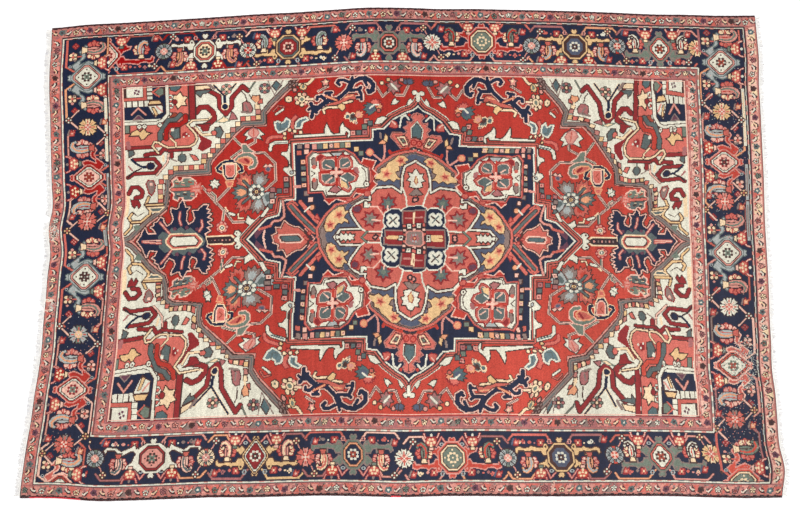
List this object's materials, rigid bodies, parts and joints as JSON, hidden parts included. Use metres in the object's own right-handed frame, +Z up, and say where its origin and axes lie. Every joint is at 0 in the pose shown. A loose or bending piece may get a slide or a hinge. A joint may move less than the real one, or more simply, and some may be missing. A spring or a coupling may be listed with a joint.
{
  "type": "persian rug",
  "caption": "Hand-knotted wool pile rug laid flat, with a medallion field, broad patterned border, corded long edges and a short cotton fringe at each end.",
  "frame": {"origin": "centre of the rug's bounding box, on the floor it lies on", "axes": "+X along the length towards the right-hand fringe, +Y across the width towards the far long edge, +Z up"},
  "size_m": [3.1346, 2.0892, 0.0134],
  "materials": {
    "knotted_wool": "matt wool pile, patterned",
    "overcast_wool": "matt overcast wool cord",
    "fringe_cotton": "matt undyed cotton"
  },
  "bodies": {
    "root": {"pile": "knotted_wool", "selvedge_far": "overcast_wool", "selvedge_near": "overcast_wool", "fringe_left": "fringe_cotton", "fringe_right": "fringe_cotton"}
  },
  "joints": []
}
